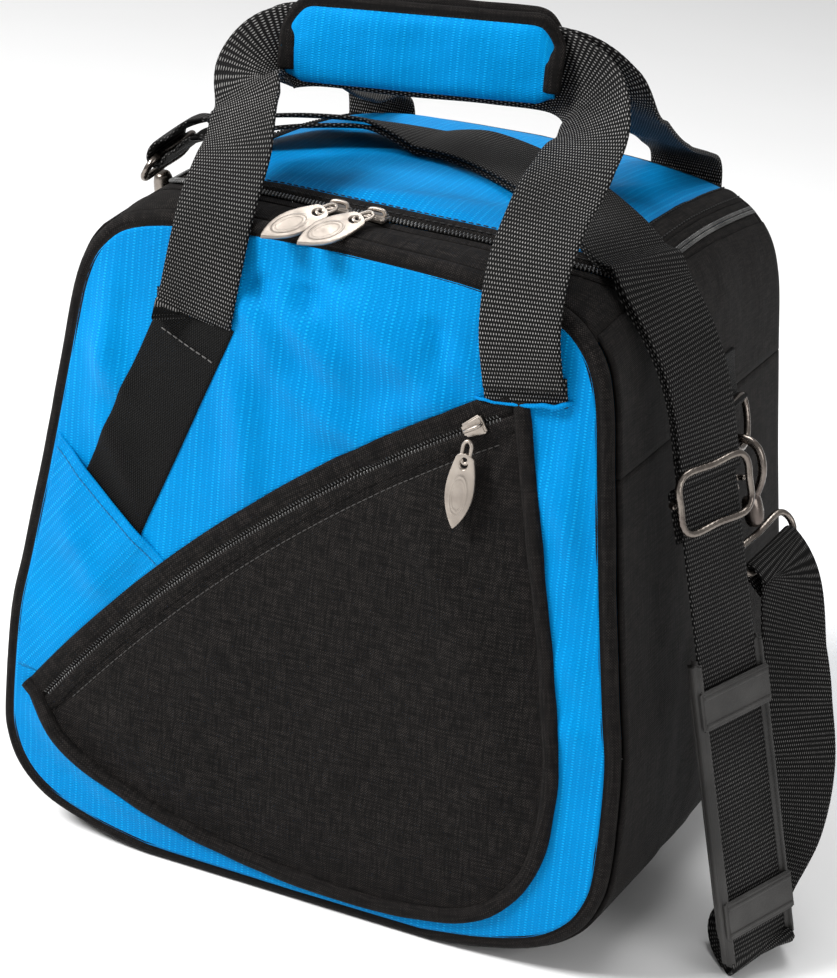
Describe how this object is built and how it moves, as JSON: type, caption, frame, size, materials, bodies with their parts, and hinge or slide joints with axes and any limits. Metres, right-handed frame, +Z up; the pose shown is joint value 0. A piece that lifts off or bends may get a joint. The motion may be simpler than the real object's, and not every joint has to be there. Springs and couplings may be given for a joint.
{
  "type": "bowling ball bag",
  "caption": "Soft single-ball bowling tote with zipped lid, front pocket, wrapped twin-web grip and a clip-on shoulder strap with pad.",
  "frame": {"origin": "centre of the flat base, on the floor", "axes": "+X to the bag's right, +Y to its back, +Z up; the pocket faces -Y"},
  "size_m": [0.3897, 0.2633, 0.4226],
  "materials": {
    "blue_fabric": "bright blue dobby polyester with a fine dot pattern, slight sheen",
    "black_fabric": "black woven polyester with a fine twill, matt",
    "webbing": "black ribbed webbing, 38 mm wide, matt",
    "nickel": "cast zip hardware, satin nickel",
    "gunmetal": "polished gunmetal wire",
    "zip_coil": "black nylon coil",
    "pad_plastic": "dark grey moulded plastic, fine grain",
    "base_board": "black covered stiffener board",
    "cup_foam": "black closed-cell foam"
  },
  "bodies": {
    "bag": {"left_lower_gusset": "black_fabric", "left_upper_gusset": "black_fabric", "right_lower_gusset": "black_fabric", "right_upper_gusset": "black_fabric", "bottom_gusset": "black_fabric", "front_panel": "blue_fabric", "back_panel": "blue_fabric", "front_piping": "black_fabric", "back_piping": "black_fabric", "body_zip_tape": "black_fabric", "body_zip_coil": "zip_coil", "top_front_strip": "black_fabric", "pocket_zip_upper_tape": "black_fabric", "pocket_zip_lower_tape": "black_fabric", "pocket_zip_coil": "zip_coil", "pocket_panel": "black_fabric", "pocket_piping": "black_fabric", "corner_patch": "blue_fabric", "front_left_lower_web": "webbing", "front_right_lower_web": "webbing", "rear_left_lower_web": "webbing", "rear_right_lower_web": "webbing", "left_ring_tab": "webbing", "right_ring_tab": "webbing", "strap_drop_lower": "webbing", "strap_drop_upper": "webbing", "strap_run": "webbing", "right_hook_eye": "gunmetal", "left_hook_eye": "gunmetal", "strap_left_end": "webbing", "base_board": "base_board", "ball_cup": "cup_foam"},
    "lid": {"lid_panel": "blue_fabric", "lid_band": "black_fabric", "lid_zip_tape": "black_fabric", "lid_zip_coil": "zip_coil", "strap_lid_lower": "webbing", "strap_lid_upper": "webbing"},
    "front_handle": {"front_handle_web": "webbing", "grip_front_leaf": "blue_fabric"},
    "rear_handle": {"rear_handle_web": "webbing", "grip_rear_leaf": "blue_fabric"},
    "left_lid_slider": {"left_lid_slider": "nickel"},
    "left_lid_pull": {"left_lid_pull": "nickel"},
    "right_lid_slider": {"right_lid_slider": "nickel"},
    "right_lid_pull": {"right_lid_pull": "nickel"},
    "pocket_slider": {"pocket_slider": "nickel"},
    "pocket_pull": {"pocket_pull": "nickel"},
    "right_ring": {"right_d_ring": "gunmetal"},
    "left_ring": {"left_d_ring": "gunmetal"},
    "right_hook": {"right_hook_body": "gunmetal"},
    "left_hook": {"left_hook_body": "gunmetal"},
    "right_gate": {"right_hook_gate": "gunmetal"},
    "left_gate": {"left_hook_gate": "gunmetal"},
    "tri_glide": {"tri_glide_frame": "gunmetal", "tri_glide_bar": "gunmetal", "tri_glide_tail": "webbing"},
    "shoulder_pad": {"shoulder_pad": "pad_plastic"}
  },
  "joints": [
    {"name": "lid_hinge", "type": "hinge", "parent": "bag", "child": "lid", "pos_m": [0, 0.1125, 0.329], "axis": [-1, 0, 0], "range_deg": [0, 100]},
    {"name": "front_handle_swing", "type": "hinge", "parent": "bag", "child": "front_handle", "pos_m": [0, -0.127, 0.282], "axis": [1, 0, 0], "range_deg": [0, 150]},
    {"name": "rear_handle_swing", "type": "hinge", "parent": "bag", "child": "rear_handle", "pos_m": [0, 0.125, 0.282], "axis": [-1, 0, 0], "range_deg": [0, 150]},
    {"name": "left_lid_slider_travel", "type": "slide", "parent": "bag", "child": "left_lid_slider", "axis": [-0.999, 0.0375, -0.025], "range_m": [0, 0.01]},
    {"name": "left_lid_pull_flip", "type": "hinge", "parent": "left_lid_slider", "child": "left_lid_pull", "pos_m": [-0.013, -0.1014, 0.33523], "axis": [-0.8701, 0.4929, 0], "range_deg": [0, 110]},
    {"name": "right_lid_slider_travel", "type": "slide", "parent": "bag", "child": "right_lid_slider", "axis": [0.9992, 0.0333, -0.02], "range_m": [0, 0.04]},
    {"name": "right_lid_pull_flip", "type": "hinge", "parent": "right_lid_slider", "child": "right_lid_pull", "pos_m": [0.005, -0.1014, 0.33538], "axis": [-0.8675, 0.4974, 0], "range_deg": [0, 110]},
    {"name": "pocket_slider_travel", "type": "hinge", "parent": "bag", "child": "pocket_slider", "pos_m": [0.44329, -0.118, -0.36026], "axis": [0, -1, 0], "range_deg": [0, 19]},
    {"name": "pocket_pull_flip", "type": "hinge", "parent": "pocket_slider", "child": "pocket_pull", "pos_m": [0.07312, -0.1276, 0.25137], "axis": [-1, 0, 0], "range_deg": [0, 120]},
    {"name": "right_ring_swing", "type": "hinge", "parent": "bag", "child": "right_ring", "pos_m": [0.14486, 0.025, 0.243], "axis": [0, 1, 0], "range_deg": [-2, 2]},
    {"name": "left_ring_swing", "type": "hinge", "parent": "bag", "child": "left_ring", "pos_m": [-0.14486, 0, 0.248], "axis": [0, 1, 0], "range_deg": [-2, 2]},
    {"name": "right_hook_swivel", "type": "hinge", "parent": "bag", "child": "right_hook", "pos_m": [0.15032, 0.025, 0.22679], "axis": [0.3192, 0, -0.9477], "range_deg": [-12, 12]},
    {"name": "left_hook_swivel", "type": "hinge", "parent": "bag", "child": "left_hook", "pos_m": [-0.14588, 0, 0.26507], "axis": [0, -0.3011, 0.9536], "range_deg": [-12, 12]},
    {"name": "right_hook_gate_press", "type": "hinge", "parent": "right_hook", "child": "right_gate", "pos_m": [0.15242, 0.025, 0.20049], "axis": [0, 1, 0], "range_deg": [0, 16]},
    {"name": "left_hook_gate_press", "type": "hinge", "parent": "left_hook", "child": "left_gate", "pos_m": [-0.13948, -0.00771, 0.28948], "axis": [0, 0.9536, 0.3011], "range_deg": [0, 16]},
    {"name": "tri_glide_travel", "type": "slide", "parent": "bag", "child": "tri_glide", "axis": [0.2354, 0.0299, -0.9714], "range_m": [0, 0.016]},
    {"name": "shoulder_pad_travel", "type": "slide", "parent": "bag", "child": "shoulder_pad", "axis": [-0.2354, -0.0299, 0.9714], "range_m": [0, 0.022]}
  ],
  "couplings": [
    {"joint": "front_handle_swing", "follows": "lid_hinge", "ratio": 1.5},
    {"joint": "rear_handle_swing", "follows": "lid_hinge", "ratio": 1.5}
  ]
}
